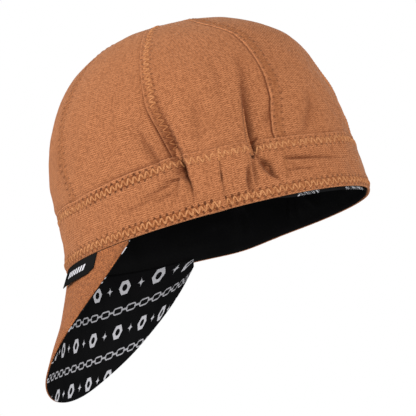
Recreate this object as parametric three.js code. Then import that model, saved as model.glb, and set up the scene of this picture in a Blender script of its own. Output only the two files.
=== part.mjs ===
// A welder's cap sewn from brown cotton duck: eight crown panels, a deep band gathered by elastic at both sides,
// a soft bill that hangs down in front, a black lining and a small woven tag in the rim seam.
//
// Millimetres, +Z up. The origin is the middle of the head opening, in the plane of the rim. The bill is at -Y
// and the wearer's left is at +X. A turn is an angle in degrees seen from above, 0 at the middle of the bill and
// growing towards the wearer's left. A way is the angle of a row of the crown, 0 at the rim and 90 at the top.

import * as THREE from 'three';

// Sizes of the whole cap
const capLength = 205;
const capWidth = 169.2;
const capHeight = 143.4;
const bandHeight = 38;

// Bill
const billLength = 81;
const billEndLength = 2;
const billSpan = 134.2;

// Cloth layers
const clothWall = 1.2;
const liningWall = 1;
const clearance = 0.3;
const billInset = 0.6;
const hemOverlap = 8;
const gatherDepth = 6;
const crownTipRadius = 2;

// Side tag, a flat loop of ribbon. Its middle lies at a share of the bill's span.
const tagWidth = 41;
const tagHeight = 11.5;
const tagWall = 1;
const tagLift = 1.2;
const tagShareOfSpan = 0.3055;
const tagMiddleTurn = tagShareOfSpan * billSpan;

// Shape of the rim seen from above: a rounded oval, fuller in front
const rimSquareness = 2.153;
const frontFullness = 0.09;

// Shape of the crown seen from the side, with a slight waist above the band
const crownFullness = 2.503;
const crownShoulder = 3.176;
const waistDip = 0.02;
const waistRise = 0.326;
const waistSpread = 0.159;

// Shape of the bill: its outline, how far its sides splay, and its slope below the horizontal in degrees
const billRoundness = 2.308;
const billTaper = 1.017;
const billWrap = 0.758;
const billFlare = 1.188;
const billSlopeAtRim = 73.2;
const billSlopeAtTip = 64.8;

// Seams of the crown on the wearer's left, and the side seam of the band, as turns
const crownSeams = [0, 41, 85, 130.5];
const bandSeam = 104.5;

// Columns of facets from the middle of the bill to the back, closest where the cloth is gathered
const stretches = [
  { upTo: crownSeams[1], steps: 4 },
  { upTo: crownSeams[2], steps: 6 },
  { upTo: bandSeam, steps: 7 },
  { upTo: crownSeams[3], steps: 10 },
  { upTo: 180, steps: 5 },
];

// Rows of facets, from one end of a piece to the other
const bandRows = 5;
const domeRows = 8;
const billColumns = 26;
const billRows = 8;
const tagColumns = 8;
const tagRows = 3;

// Gathers of one side. Heights are shares of bandHeight. Depth is a share of gatherDepth, negative where the
// cloth puffs out. Width is in degrees.
const gathers = [
  { name: 'front pinch', topTurn: 91.2, footTurn: 93.2, top: 1.6, foot: 0.1, depth: 0.75, width: 1.9 },
  { name: 'seam slit', topTurn: 105.8, footTurn: 103.8, top: 1.05, foot: 0.15, depth: 0.25, width: 1.4 },
  { name: 'rear pinch above', topTurn: 122.5, footTurn: 117, top: 2.2, foot: 0.85, depth: 0.6, width: 2.1 },
  { name: 'rear pinch below', topTurn: 117.6, footTurn: 114.6, top: 1.2, foot: 0.1, depth: 0.75, width: 1.8 },
  { name: 'slanting dent', topTurn: 119.4, footTurn: 124.4, top: 0.75, foot: 0.1, depth: 0.3, width: 1.6 },
  { name: 'fold before seam', topTurn: 79.5, footTurn: 85.6, top: 2, foot: 1, depth: 0.3, width: 2 },
  { name: 'fold over slit', topTurn: 111, footTurn: 102.4, top: 1.6, foot: 0.98, depth: 0.28, width: 2.2 },
  { name: 'fold behind', topTurn: 151, footTurn: 137, top: 1.75, foot: 1, depth: 0.3, width: 3.5 },
  { name: 'puffed casing', topTurn: 105, footTurn: 105, top: 1.3, foot: 0, depth: -0.4, width: 8.5 },
  { name: 'puffed crown', topTurn: 105, footTurn: 105, top: 2.6, foot: 0.9, depth: -0.42, width: 9 },
];

const crownDepth = clothWall + clearance;
const liningDepth = crownDepth + clothWall + clearance;
const billLiningDepth = billInset + clothWall + clearance;

const radians = THREE.MathUtils.degToRad;
const degrees = THREE.MathUtils.radToDeg;

function steps(from, to, count) {
  return Array.from({ length: count + 1 }, (_, i) => from + ((to - from) * i) / count);
}

// The columns of one half, mirrored to the other and carried on once round, so any run of turns can be cut out
const halfTurns = stretches.reduce(
  (turns, { upTo, steps: count }) => [...turns, ...steps(turns.at(-1), upTo, count).slice(1)],
  [0],
);
const oneTurn = [...halfTurns.slice(1).reverse().map((turn) => -turn), ...halfTurns];
const allTurns = [...oneTurn, ...oneTurn.slice(1).map((turn) => turn + 360)];

function turnsBetween(from, to) {
  const slack = 1e-6;
  return allTurns.filter((turn) => turn >= from - slack && turn <= to + slack);
}

// The rim in plan, on a superellipse whose width grows with how far forward a point lies
function rimPoint(turn) {
  const across = Math.sin(radians(turn));
  const ahead = Math.cos(radians(turn));
  const power = Math.abs(across) ** rimSquareness + Math.abs(ahead) ** rimSquareness;
  const reach = power ** (-1 / rimSquareness);
  const forward = ahead * reach;
  const side = across * reach * (1 + frontFullness * forward);
  return new THREE.Vector3((side * capWidth) / 2, (-forward * capLength) / 2, 0);
}

function wayAtHeight(height) {
  return degrees(Math.asin((height / capHeight) ** (crownShoulder / 2)));
}

// The smooth outer surface of band and crown: the rim, drawn in by a share and lifted by a rise
function smoothPoint(turn, way) {
  const rise = Math.sin(radians(way)) ** (2 / crownShoulder);
  const dip = waistDip * Math.exp(-(((rise - waistRise) / waistSpread) ** 2));
  const share = Math.cos(radians(way)) ** (2 / crownFullness) - dip;
  return rimPoint(turn).multiplyScalar(share).setZ(rise * capHeight);
}

// The outward normal, from two points a little further round and further up. It is taken just short of the top,
// where all turns meet.
function smoothNormal(turn, way) {
  const turnStep = 0.5;
  const wayStep = 0.2;
  const start = Math.min(way, 90 - 5 * wayStep);
  const here = smoothPoint(turn, start);
  const along = smoothPoint(turn + turnStep, start).sub(here);
  const up = smoothPoint(turn, start + wayStep).sub(here);
  return along.cross(up).normalize();
}

// How far the gathers push the cloth in at a turn and a height: rounded valleys that fade at both ends
function gatherAt(turn, height) {
  const fromFront = Math.abs(turn > 180 ? turn - 360 : turn);
  return gathers.reduce((total, { topTurn, footTurn, top, foot, depth, width }) => {
    const along = (height / bandHeight - foot) / (top - foot);
    if (along <= 0 || along >= 1) return total;
    const middle = footTurn + (topTurn - footTurn) * along;
    const fade = 1 - (2 * along - 1) ** 4;
    return total + depth * gatherDepth * fade * Math.exp(-(((fromFront - middle) / width) ** 2));
  }, 0);
}

// A point of the cap at a depth below the outer face of the band
function capPoint(turn, way, depth) {
  const point = smoothPoint(turn, way);
  const inward = depth + gatherAt(turn, point.z);
  return point.addScaledVector(smoothNormal(turn, way), -inward);
}

// A grid of points with one row for each way. Its ends are drawn in by half a gap where it meets its neighbours,
// and the columns between follow less and less towards the middle.
function capGrid(turns, ways, depth, gap) {
  const middle = (turns[0] + turns.at(-1)) / 2;
  const half = turns.at(-1) - middle;
  return ways.map((way) => {
    const row = turns.map((turn) => smoothPoint(turn, way));
    const length = row.slice(1).reduce((sum, point, i) => sum + point.distanceTo(row[i]), 0);
    return turns.map((turn) => {
      const across = (turn - middle) / half;
      const drawnIn = (gap / length) * across ** 3;
      return capPoint(middle + half * (across - drawnIn), way, depth);
    });
  });
}

// A wall between two grids of points, each a list of rows from the lower edge up and columns by rising turn.
// A closed wall joins its last column to its first and ends in a pole over its last row.
function wall(outer, inner, poles) {
  const rows = outer.length;
  const columns = outer[0].length;
  const points = [...outer.flat(), ...inner.flat()];
  const index = (side, row, column) => side * rows * columns + row * columns + (column % columns);
  const faces = [];
  const quad = (a, b, c, d) => faces.push(a, b, c, a, c, d);
  const lastColumn = poles ? columns : columns - 1;
  for (let column = 0; column < lastColumn; column++) {
    const next = column + 1;
    for (let row = 0; row < rows - 1; row++) {
      const up = row + 1;
      quad(index(0, row, column), index(0, row, next), index(0, up, next), index(0, up, column));
      quad(index(1, row, column), index(1, up, column), index(1, up, next), index(1, row, next));
    }
    quad(index(0, 0, next), index(0, 0, column), index(1, 0, column), index(1, 0, next));
    const top = rows - 1;
    if (poles) {
      faces.push(index(0, top, column), index(0, top, next), points.length);
      faces.push(index(1, top, next), index(1, top, column), points.length + 1);
    } else {
      quad(index(0, top, column), index(0, top, next), index(1, top, next), index(1, top, column));
    }
  }
  if (poles) {
    points.push(...poles);
  } else {
    const end = columns - 1;
    for (let row = 0; row < rows - 1; row++) {
      const up = row + 1;
      quad(index(0, row, 0), index(0, up, 0), index(1, up, 0), index(1, row, 0));
      quad(index(0, up, end), index(0, row, end), index(1, row, end), index(1, up, end));
    }
  }
  const geometry = new THREE.BufferGeometry().setFromPoints(points);
  geometry.setIndex(faces);
  geometry.computeVertexNormals();
  return geometry;
}

// Rows of the band up to the hem of the crown, then rows of the crown over the gathers and on to its tip
const hemFoot = bandHeight - hemOverlap;
const gatherRows = [1, 1.2, 1.45, 1.75, 2.1, 2.6];
const bandWays = [...steps(0, hemFoot, bandRows), bandHeight].map(wayAtHeight);
const collarWays = gatherRows.map((share) => wayAtHeight(share * bandHeight));
const tipWay = degrees(Math.acos(((2 * crownTipRadius) / capLength) ** (crownFullness / 2)));
const domeWays = steps(collarWays.at(-1), tipWay, domeRows).slice(1);
const crownWays = [wayAtHeight(hemFoot), ...collarWays, ...domeWays];

function crownPanel(from, to) {
  const turns = turnsBetween(from, to);
  const outer = capGrid(turns, crownWays, crownDepth, clearance);
  const inner = capGrid(turns, crownWays, crownDepth + clothWall, clearance);
  return wall(outer, inner);
}

function bandPiece(from, to) {
  const turns = turnsBetween(from, to);
  return wall(capGrid(turns, bandWays, 0, clearance), capGrid(turns, bandWays, clothWall, clearance));
}

// The lining is one bowl inside all the panels, open at the rim
function liningBowl() {
  const turns = turnsBetween(-180, 180).slice(1);
  const everySecond = domeWays.filter((_, i) => i % 2 === 1);
  const ways = [...steps(0, hemFoot, 2).map(wayAtHeight), ...collarWays, ...everySecond];
  const outer = capGrid(turns, ways, liningDepth, 0);
  const inner = capGrid(turns, ways, liningDepth + liningWall, 0);
  const top = capHeight - liningDepth;
  return wall(outer, inner, [new THREE.Vector3(0, 0, top), new THREE.Vector3(0, 0, top - liningWall)]);
}

// The bill falls from the rim along straight headings that splay less than the rim does, its slope easing evenly
// towards the tip. Reach is measured down the bill, depth inwards from the outer face of the band.
function billPoint(turn, reach, depth) {
  const turnStep = 0.5;
  const base = rimPoint(turn);
  const along = rimPoint(turn + turnStep).sub(rimPoint(turn - turnStep));
  const heading = billWrap * Math.atan2(along.y, along.x);
  const start = radians(billSlopeAtRim);
  const easing = radians(billSlopeAtTip) - start;
  const slope = start + (easing * reach) / billLength;
  const across = turn / (billSpan / 2);
  const splay = 1 + billFlare * across ** 2;
  const outward = ((splay * billLength) / easing) * (Math.sin(slope) - Math.sin(start));
  const drop = (billLength / easing) * (Math.cos(start) - Math.cos(slope));
  const out = outward - depth / Math.sin(slope);
  base.x += out * Math.sin(heading);
  base.y -= out * Math.cos(heading);
  base.z -= drop + clearance;
  return base;
}

function billReach(turn) {
  const across = Math.min(1, Math.abs(turn) / (billSpan / 2));
  return billEndLength + (billLength - billEndLength) * (1 - across ** billRoundness) ** billTaper;
}

function billLayer(outerDepth, thickness) {
  const turns = steps(-billSpan / 2, billSpan / 2, billColumns);
  const shares = steps(1, 0, billRows);
  const grid = (depth) => shares.map((share) => turns.map((turn) => billPoint(turn, share * billReach(turn), depth)));
  return wall(grid(outerDepth), grid(outerDepth + thickness));
}

// The tag hangs from the rim over the outer face of the bill, its front lower corner lifted a little
function sideTag() {
  const middle = rimPoint(tagMiddleTurn);
  const spread = degrees(tagWidth / 2 / middle.length());
  const turns = steps(tagMiddleTurn - spread, tagMiddleTurn + spread, tagColumns);
  const innerDepth = billInset - clearance;
  const lift = (share, column) => tagLift * share * (1 - column / tagColumns);
  const grid = (depth) =>
    steps(1, 0, tagRows).map((share) =>
      turns.map((turn, column) => billPoint(turn, share * tagHeight, depth - lift(share, column))),
    );
  return wall(grid(innerDepth - tagWall), grid(innerDepth));
}

// Finishes of the three cloths
const duck = { color: 0xc07c52, roughness: 0.92, metalness: 0 };
const liningCloth = { color: 0x121214, roughness: 0.85, metalness: 0 };
const ribbon = { color: 0x1b1b1d, roughness: 0.7, metalness: 0 };

function piece(name, geometry, finish) {
  const mesh = new THREE.Mesh(geometry, new THREE.MeshStandardMaterial(finish));
  mesh.name = name;
  return mesh;
}

const cap = new THREE.Group();
cap.name = 'welding_cap';

const seamsRound = [...crownSeams, 180, ...crownSeams.slice(1).reverse().map((turn) => 360 - turn), 360];
for (let i = 0; i < seamsRound.length - 1; i++) {
  cap.add(piece(`crown_panel_${i + 1}`, crownPanel(seamsRound[i], seamsRound[i + 1]), duck));
}
cap.add(piece('band_front', bandPiece(-bandSeam, bandSeam), duck));
cap.add(piece('band_back', bandPiece(bandSeam, 360 - bandSeam), duck));
cap.add(piece('lining', liningBowl(), liningCloth));
cap.add(piece('bill_cover', billLayer(billInset, clothWall), duck));
cap.add(piece('bill_lining', billLayer(billLiningDepth, liningWall), liningCloth));
cap.add(piece('side_tag', sideTag(), ribbon));

export default cap;
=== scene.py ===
"""A welder's cap of brown cotton duck: eight lapped crown panels, a band gathered by elastic at both sides, a soft
bill lined in black, and a small woven tag. Surfaces are worked out in millimetres and made in metres."""

import bpy
import numpy as np
from mathutils import Matrix


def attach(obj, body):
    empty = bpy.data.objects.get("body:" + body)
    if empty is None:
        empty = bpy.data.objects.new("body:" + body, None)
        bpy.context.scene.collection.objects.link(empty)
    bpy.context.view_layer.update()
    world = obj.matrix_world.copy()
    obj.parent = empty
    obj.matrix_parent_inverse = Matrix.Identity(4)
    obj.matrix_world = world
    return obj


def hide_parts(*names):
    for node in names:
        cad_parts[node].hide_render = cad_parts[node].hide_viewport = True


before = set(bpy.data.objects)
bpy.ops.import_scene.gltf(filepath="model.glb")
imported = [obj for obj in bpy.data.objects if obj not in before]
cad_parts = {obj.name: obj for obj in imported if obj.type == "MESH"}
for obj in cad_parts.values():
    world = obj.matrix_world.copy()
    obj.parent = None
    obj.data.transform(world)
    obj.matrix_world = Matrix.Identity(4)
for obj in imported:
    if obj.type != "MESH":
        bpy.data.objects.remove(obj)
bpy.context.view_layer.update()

# Sizes of the cap, as in the part's source
CAP_LENGTH = 205.0
CAP_WIDTH = 169.2
CAP_HEIGHT = 143.4
RIM_SQUARENESS = 2.153
FRONT_FULLNESS = 0.09
CROWN_FULLNESS = 2.503
CROWN_SHOULDER = 3.176
WAIST_DIP = 0.02
WAIST_RISE = 0.326
WAIST_SPREAD = 0.159
BILL_LENGTH = 81.0
BILL_END_LENGTH = 2.0
BILL_SPAN = 134.2
BILL_ROUNDNESS = 2.308
BILL_TAPER = 1.017
BILL_WRAP = 0.758
BILL_FLARE = 1.188
BILL_SLOPES = (73.2, 64.8)
CLEARANCE = 0.3

# Depths below the band's outer face
CROWN_DEPTH = 0.8
CROWN_WALL = 1.0
LINING_DEPTH = 3.0
BILL_DEPTH = 0.6
BILL_LINING_DEPTH = 1.9

# Zigzag stitching: its middle's distance from the sewn edge, its swing to each side, its pitch, the thread's
# radius, and how strongly the second row of the back seam pulls at the cloth
STITCH_INSET = 4.8
STITCH_SWING = 2.4
STITCH_PITCH = 4.2
THREAD_RADIUS = 0.66
REAR_PULL = 0.3

# Mean radius of the rim, height of the crown's hem, and radius of the hole left at the tips of the panels
MEAN_RADIUS = 94.0
HEM_HEIGHT = 29.0
TIP_RADIUS = 0.35

# Width of a panel below which the columns by its seams draw together
FULL_WIDTH = 24

# The inset written where there is no stitched edge, and the amount of fold depth over which the painted shade of a
# crease builds up
UNSTITCHED = 50.0
PAINTED_SHADE_DEPTH = 2.4

# Height of the band's upper edge, as (turn, height)
BAND_TOP = [
    (0, 38), (30, 37.7), (46, 36.6), (55.5, 37.1), (65, 38.3), (74, 38.9), (81.5, 39), (87, 40.4), (92, 40.6),
    (96, 38.9), (101, 37.8), (113, 37.9), (115.6, 37.8), (116.9, 34.6), (118.6, 36.9), (122, 37.1), (128.5, 36.5),
    (137, 35.9), (147, 35.4), (163, 36.5), (180, 37),
]

# Seams of the crown on the wearer's left, each as (height, turn) from the hem up
SEAM_LINES = [
    [(20, 0), (143.4, 0)],
    [(20, 43), (40, 42), (60, 38.8), (85, 40.6), (110, 42.6), (143.4, 43.5)],
    [(20, 90), (42, 89.6), (50, 88.4), (60, 87), (75, 84.7), (109, 84.5), (131, 85.5), (143.4, 87)],
    [(20, 126.8), (42, 126.6), (52, 128), (63, 130), (77, 131), (104, 130.7), (114, 129.6), (119.4, 126.8),
     (124, 124), (131, 120), (143.4, 119)],
    [(20, 180), (143.4, 180)],
]

# Line where the band's front piece laps over its back piece, as (height, turn)
BAND_SEAM = [(0, 103.5), (12, 103.8), (19.5, 104), (28, 104.8), (37, 105.8), (42, 106)]

BAND_SEAM_TURN = 104.5
BAND_OVERLAP = 6.5

# Broad hollows and swellings of the worn cap, at the front and at the back: (turn, width in degrees), then rows of
# (height, width, depth)
BROAD_SHAPES = [
    (0, 38, [(18, 13, 2.2), (33, 5, 0.8), (43, 4, -0.9), (54, 13, -1.6), (71, 9, -0.8), (93, 9, 0.9)]),
    (180, 34, [(16, 13, 1.0), (49, 9, -0.9), (84, 13, 1.7), (111, 10, -1.3)]),
    (145, 32, [(132, 8, 0.7)]),
    (78, 22, [(134, 10, -0.9)]),
]

# Upright folds of one side: rows of (turn, height, depth, width in front, width behind) from the lower end up, then
# the power of the profile and how much painted shade the crease gets. A negative depth puffs out.
UPRIGHT_FOLDS = {
    "front pinch": ([
        (93.4, 8, 0, 0.9, 0.7), (93.6, 11, 0.8, 0.9, 0.7), (93.9, 17, 1.7, 1, 0.7), (93.8, 22, 2.7, 1.4, 0.7),
        (93.4, 26, 4.6, 3, 0.8), (93.3, 29.5, 7, 4.6, 1), (93.3, 33, 6, 4.2, 1), (93.2, 36, 4.6, 3.6, 1),
        (92.8, 41, 4.8, 5.5, 1.2), (92.1, 48, 4.4, 6, 1.4), (91, 58, 2.8, 6.5, 2), (89.5, 72, 1.2, 6.5, 3),
        (88.6, 90, 0, 6, 3),
    ], 1.35, 1),
    "arch": ([
        (91, 7, 0, 3.6, 2), (91.3, 12, -0.9, 3.6, 2), (91.6, 20, -1.6, 3.4, 1.7), (91.5, 25, -1.5, 2.2, 1.4),
        (91.4, 28, 0, 1.2, 1.2),
    ], 2.2, 0),
    "side of arch": ([
        (86.6, 10, 0, 2.2, 0.9), (88.2, 15, 0.7, 2.2, 0.9), (89, 20, 1.2, 2, 0.8), (90.2, 25, 1.4, 1.6, 0.7),
        (91, 28, 0, 1, 0.7),
    ], 1.4, 0.8),
    "rear pinch": ([
        (116.4, 25.5, 0, 0.7, 1.2), (116.4, 28, 4.2, 0.8, 1.7), (117, 31.5, 7.4, 0.9, 2.4),
        (117.2, 35, 7.4, 1, 2.6), (117, 38.5, 5.6, 0.9, 2.8), (117.6, 45, 5, 1, 3.4), (118.2, 51.5, 4, 1.2, 3.8),
        (120, 67, 2.4, 1.8, 4.2), (122, 80, 1.3, 2.4, 4.2), (124.4, 100, 0, 3, 4),
    ], 1.35, 1.15),
    "small pit": ([(118.1, 25, 0, 0.9, 1), (118.1, 27, 1.8, 0.9, 1), (118.1, 29, 0, 0.9, 1)], 1.5, 1.6),
    "rear ridge": ([
        (114.7, 7, 0, 0.6, 1.3), (114.9, 11, 1.3, 0.6, 1.5), (115.2, 16, 2.1, 0.7, 1.7),
        (115.6, 22, 2.3, 0.8, 1.8), (115.9, 26, 1.4, 0.8, 1.4), (116.3, 28, 0, 0.8, 1.2),
    ], 1.4, 0.7),
    "dent in casing": ([
        (111.7, 6, 0, 0.6, 2.4), (112, 9, 2, 0.6, 2.6), (112.4, 14.4, 3.1, 0.7, 2.6), (113.4, 20, 2.6, 0.7, 1.9),
        (114.7, 24, 0.9, 0.7, 1), (115.2, 26, 0, 0.7, 0.7),
    ], 1.4, 1),
    "slanting dent": ([
        (124.8, 7, 0, 1.2, 1.2), (123.1, 10.5, 0.9, 1.5, 1.2), (121.4, 14.5, 3.2, 2, 1.8),
        (120.5, 19.5, 5, 3, 2.8), (119.7, 23, 4, 3, 2.4), (118.6, 27, 0, 1.8, 1.8),
    ], 1.8, 1),
    "nick by seam": ([
        (124.6, 44, 0, 3, 1.4), (126.2, 49, 1.3, 3, 1.4), (127.6, 54, 0.9, 3, 1.4), (129, 62, 0, 3, 1.4),
    ], 1.8, 0.8),
    "valley before seam": ([
        (84.8, 36, 0, 3, 1.8), (84.5, 41, 2.2, 3, 1.8), (83.5, 46, 2.4, 3, 2), (82.1, 52, 2, 3, 2.2),
        (80.9, 60, 1.3, 3.2, 2.6), (79.5, 72, 0, 3.5, 3),
    ], 1.8, 0.7),
    "valley over casing": ([
        (99.6, 40, 0, 3.5, 4), (100.3, 45, 0.8, 3.5, 4), (101.2, 54, 1, 4, 4.5), (102, 66, 0.7, 5, 5),
        (103, 84, 0, 5, 5),
    ], 2, 0.5),
    "valley by pinch": ([
        (111.5, 60, 0, 4, 3), (112, 72, 0.8, 4, 2.6), (113.4, 86, 0.7, 4, 3), (114, 104, 0, 4, 3),
    ], 2, 0.5),
    "valley behind": ([
        (139, 36, 0, 4, 4), (141, 41, 0.9, 4, 4.5), (144, 46.5, 1.4, 4.2, 5), (147, 53, 1.3, 4.5, 5),
        (150, 66, 0, 5, 5),
    ], 2, 0.8),
    "puffed casing": ([
        (105, 3, 0, 19, 19), (105, 12, -1.9, 19, 19), (105.2, 24, -2.7, 19, 19), (105.4, 40, -2.8, 19, 19),
        (105, 56, -2.2, 19, 19), (105, 80, -1.2, 20, 20), (105, 108, 0, 20, 20),
    ], 5, 0),
}

# Level wrinkles of one side: (turn, height, depth) from the front, then the width above and below
LEVEL_WRINKLES = {
    "fan, crisp": ([(84, 26.8, 0), (87.2, 26.3, 1), (89, 26, 2.2), (90.3, 25.8, 1.8), (91.2, 26, 0)], 0.8, 0.8),
    "fan, upper": ([(75, 21, 0), (79.4, 21.6, 0.7), (84.4, 23.3, 1.1), (87, 24.4, 0.8), (89, 25.2, 0)], 1.5, 1),
    "fan, lower": ([(79, 15.4, 0), (82.4, 16.8, 0.6), (86.2, 18.6, 0.9), (88.5, 19.8, 0)], 1.4, 1.1),
    "fan, third": ([(66, 16.6, 0), (72, 17.2, 0.5), (78, 18.4, 0.6), (83, 20, 0)], 1.3, 1.1),
    "by the notch": ([(117.3, 37.4, 0), (118.4, 37.6, 2.4), (119.6, 38.4, 2), (121.2, 39.8, 0)], 1, 1),
    "sharp, behind": ([
        (126.2, 22.9, 0), (128.2, 22.5, 1.3), (133.4, 21.6, 1.8), (142, 19.9, 1.2), (149, 19.1, 0.6),
        (155, 18.8, 0),
    ], 1.8, 0.6),
    "faint, behind": ([
        (126.2, 15, 0), (128, 14.9, 0.7), (132, 14.9, 0.9), (136, 14.4, 0.6), (140, 14.1, 0),
    ], 1.3, 0.8),
}

# How dark the painted shade line in front of each crown seam is, low down and high up (it also deepens the groove
# there), and how clear its painted needle holes are
SEAM_SHADE_LOW = (0.4, 0.25, 0.85, 1.3, 0.4)
SEAM_SHADE_HIGH = (0.1, 0.0, 0.03, 0.5, 0.1)
SEAM_HOLES = (0.3, 0.46, 0.42, 0.5, 0.2)


def rad(angle):
    return np.radians(angle)


def ease(x):
    """0 before 0 and 1 after 1, with a smooth step between."""
    x = np.clip(x, 0, 1)
    return x * x * (3 - 2 * x)


def bell(x, middle, width):
    """1 at the middle, falling off to both sides as exp(-(distance/width)^2)."""
    return np.exp(-(((x - middle) / width) ** 2))


def unit(vectors):
    return vectors / np.linalg.norm(vectors, axis=-1, keepdims=True)


def joined(*parts, axis=0):
    """Arrays put end to end."""
    return np.concatenate(parts, axis=axis)


def together(*values):
    """Arrays spread to one shape and joined along a new last axis."""
    return np.stack(np.broadcast_arrays(*values), axis=-1)


# The smooth cap: its rim and its crown
def rim(turn):
    """The rim in plan: a superellipse whose width grows with how far forward a point lies."""
    across, ahead = np.sin(rad(turn)), np.cos(rad(turn))
    power = np.abs(across) ** RIM_SQUARENESS + np.abs(ahead) ** RIM_SQUARENESS
    reach = power ** (-1 / RIM_SQUARENESS)
    forward = ahead * reach
    side = across * reach * (1 + FRONT_FULLNESS * forward)
    return side * CAP_WIDTH / 2, -forward * CAP_LENGTH / 2


TURNS = np.linspace(-200, 400, 12001)
rim_x, rim_y = rim(TURNS)
RUNS = joined([0], np.cumsum(np.hypot(np.diff(rim_x), np.diff(rim_y))))
RUNS -= np.interp(0, TURNS, RUNS)


def run_of(turn):
    """Length along the rim from the middle of the front, in mm."""
    return np.interp(turn, TURNS, RUNS)


def turn_of(run):
    return np.interp(run, RUNS, TURNS)


def way_of(height):
    """The row of the crown at a height, as an angle that is 0 at the rim and 90 at the top."""
    return np.degrees(np.arcsin(np.clip(height / CAP_HEIGHT, 0, 1) ** (CROWN_SHOULDER / 2)))


def height_of(way):
    """Height of a row: the crown's height times sin(way)^(2/shoulder)."""
    return np.sin(rad(way)) ** (2 / CROWN_SHOULDER) * CAP_HEIGHT


def share_of(way):
    """How much of the rim's size is left at a row: cos(way)^(2/fullness), less a dip at the waist."""
    dip = WAIST_DIP * bell(height_of(way) / CAP_HEIGHT, WAIST_RISE, WAIST_SPREAD)
    return np.cos(rad(way)) ** (2 / CROWN_FULLNESS) - dip * np.cos(rad(way))


def half_turn(turn):
    """The turn from the front to either side, and the side: 1 on the wearer's left and -1 on the right."""
    wrapped = (turn + 180) % 360 - 180
    return np.abs(wrapped), np.where(wrapped < 0, -1.0, 1.0)


def droop(turn, height):
    """How much lower the slack rim hangs beside the bill on the wearer's right."""
    away, side = half_turn(turn)
    return np.where(side < 0, 2.0, 0.0) * bell(away, 88, 13) * ease((30 - height) / 30)


def drawn_in(turn, height):
    """Share by which the low edge is drawn in at the back, a little to the wearer's right of its middle."""
    return 0.012 * bell((turn - 10) % 360, 180, 14) * ease((16 - height) / 16)


def smooth(turn, way):
    """The smooth outer face: the rim drawn in by the row's share and lifted to its height, less its droop."""
    x, y = rim(turn)
    height = height_of(way)
    share = share_of(way) * (1 - drawn_in(turn, height))
    return together(x * share, y * share, height - droop(turn, height))


def smooth_normal(turn, way):
    """Outward normal of the smooth face, from points a little further round and a little further up."""
    start = np.clip(way, 0, 89)
    here = smooth(turn, start)
    return unit(np.cross(smooth(turn + 0.4, start) - here, smooth(turn, start + 0.2) - here))


def sunk(turn, way, depth):
    """Points at a depth below the smooth face, along its normal."""
    return smooth(turn, way) - smooth_normal(turn, way) * depth[..., None]


top_turns = np.linspace(0, 180, 721)
top_heights = np.interp(top_turns, *np.array(BAND_TOP, float).T)
kernel = np.exp(-((np.arange(-16, 17) / 5.0) ** 2))
top_heights = np.convolve(np.pad(top_heights, 16, mode="edge"), kernel / kernel.sum(), mode="valid")


def band_top(turn):
    """Height of the band's upper edge, a little different on the wearer's right."""
    away, side = half_turn(turn)
    return np.interp(away, top_turns, top_heights) + np.where(side < 0, 0.5 * np.sin(away / 19.0), 0)


# Folds, wrinkles and the unevenness of soft cloth
def folds(turn, height):
    """Depth pushed in at a turn and height, and how much painted shade its creases lay there. An upright fold follows
    a
    line of (turn, height): its depth falls off across it as exp(-(distance/width)^power). A wrinkle does the same
    across a line that runs round the cap. On the wearer's right each is moved, and is deeper or shallower, by a
    few fixed waves of its number."""
    away, side = half_turn(turn)
    away, side, height = np.broadcast_arrays(away, side, height)
    run = run_of(away)
    right = side < 0
    total = np.zeros(run.shape)
    for middle, spread, rows in BROAD_SHAPES:
        for level, rise, depth in rows:
            total = total + depth * bell(away, middle, spread) * bell(height, level, rise)
    painted_shade = np.zeros(run.shape)
    for number, (line, power, dark) in enumerate(UPRIGHT_FOLDS.values()):
        turns, heights, depths, fronts, behinds = np.array(line, float).T
        moved = np.where(right, 1.6 * np.sin(2.7 * number + 1), 0)
        across = run - np.interp(height, heights, run_of(turns)) - moved
        depth = np.interp(height, heights, depths, left=0, right=0)
        depth = depth * np.where(right, 0.92 + 0.2 * np.sin(1.9 * number), 1)
        width = np.where(across < 0, np.interp(height, heights, fronts), np.interp(height, heights, behinds))
        spread = np.abs(across) / width
        total = total + depth * np.exp(-(spread**power))
        # Painted shade, darkest along the bottom of the fold
        painted_shade = painted_shade + dark * np.clip(depth, 0, None) * np.exp(-((1.3 * spread) ** 1.4))
    for number, (line, above, below) in enumerate(LEVEL_WRINKLES.values()):
        turns, heights, depths = np.array(line, float).T
        runs = run_of(turns)
        moved = np.where(right, 1.8 * np.sin(2.1 * number + 2), 0)
        across = height - np.interp(run, runs, heights) - moved
        depth = np.interp(run, runs, depths, left=0, right=0)
        spread = np.abs(across) / np.where(across > 0, above, below)
        total = total + depth * np.exp(-(spread**1.4))
        # Painted shade along the wrinkle
        painted_shade = painted_shade + 2.2 * depth * np.exp(-((1.4 * spread) ** 1.3))
    return total, painted_shade


# Waves of the cloth's unevenness: cycles round the cap, cycles per mm of height, phase and depth in mm
WAVES = [
    (5, 0.012, 0.3, 0.30), (9, -0.017, 1.9, 0.26), (14, 0.024, 4.1, 0.20), (23, -0.031, 2.2, 0.14),
    (31, 0.043, 5.0, 0.10), (47, -0.052, 0.9, 0.07), (62, 0.071, 3.3, 0.05),
]


def unevenness(turn, height):
    """Soft unevenness: a sum of sine waves that run slantwise round the cap."""
    turn, height = np.broadcast_arrays(turn, height)
    total = np.zeros(turn.shape)
    for cycles, climb, phase, depth in WAVES:
        total = total + depth * np.sin(rad(turn) * cycles + height * climb * 2 * np.pi + phase)
    return total


def shrink(height):
    """How far the worn crown's shoulders and top have drawn in."""
    return 1.2 * ease((height - 84) / 26)


# Sewn edges
def lap(distance):
    """How far cloth stands up at a distance behind its folded, stitched edge: it comes up from under the fold,
    and two rows of needle holes draw it down a little."""
    at = [-2.0, 0.0, 0.2, 0.5, 0.9, 1.5, 2.4, 3.4, 4.8, 6.2, 7.2, 8.0, 9.2, 10.6]
    stands = [-1.0, -0.9, -0.2, 0.34, 0.52, 0.5, 0.3, 0.44, 0.52, 0.44, 0.24, 0.2, 0.06, 0.0]
    return np.interp(distance, at, stands)


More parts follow.
